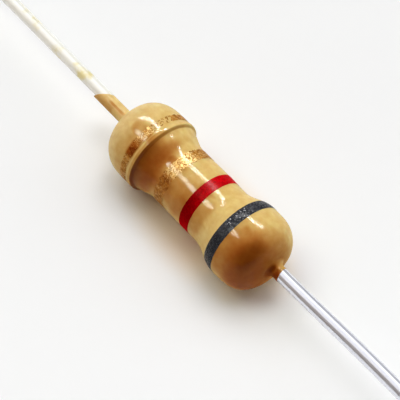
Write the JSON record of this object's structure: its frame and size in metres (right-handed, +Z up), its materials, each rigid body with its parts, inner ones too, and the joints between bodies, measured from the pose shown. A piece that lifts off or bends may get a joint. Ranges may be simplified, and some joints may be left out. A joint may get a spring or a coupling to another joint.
{
  "type": "axial resistor",
  "caption": "Small axial carbon film resistor: dog-bone lacquered body with colour bands and a straight wire lead at each end.",
  "frame": {"origin": "middle of the ceramic rod, which is also the middle of the whole part, on the axis of the leads", "axes": "+X along the leads towards the end with the black band; Y and Z across it; as it lies on a table +Z is up"},
  "size_m": [0.0624, 0.0024, 0.0024],
  "materials": {
    "ceramic": "matte",
    "carbon": "satin",
    "cap_steel": "satin",
    "tinned_wire": "satin",
    "tan_lacquer": "gloss",
    "black_paint": "gloss",
    "red_paint": "gloss",
    "gold_paint": "satin"
  },
  "bodies": {
    "root": {"ceramic_core": "ceramic", "carbon_film": "carbon", "near_end_cap": "cap_steel", "far_end_cap": "cap_steel", "near_lead": "tinned_wire", "far_lead": "tinned_wire", "lacquer_coat": "tan_lacquer", "black_band": "black_paint", "red_band": "red_paint", "middle_gold_band": "gold_paint", "end_gold_band": "gold_paint"}
  },
  "joints": []
}
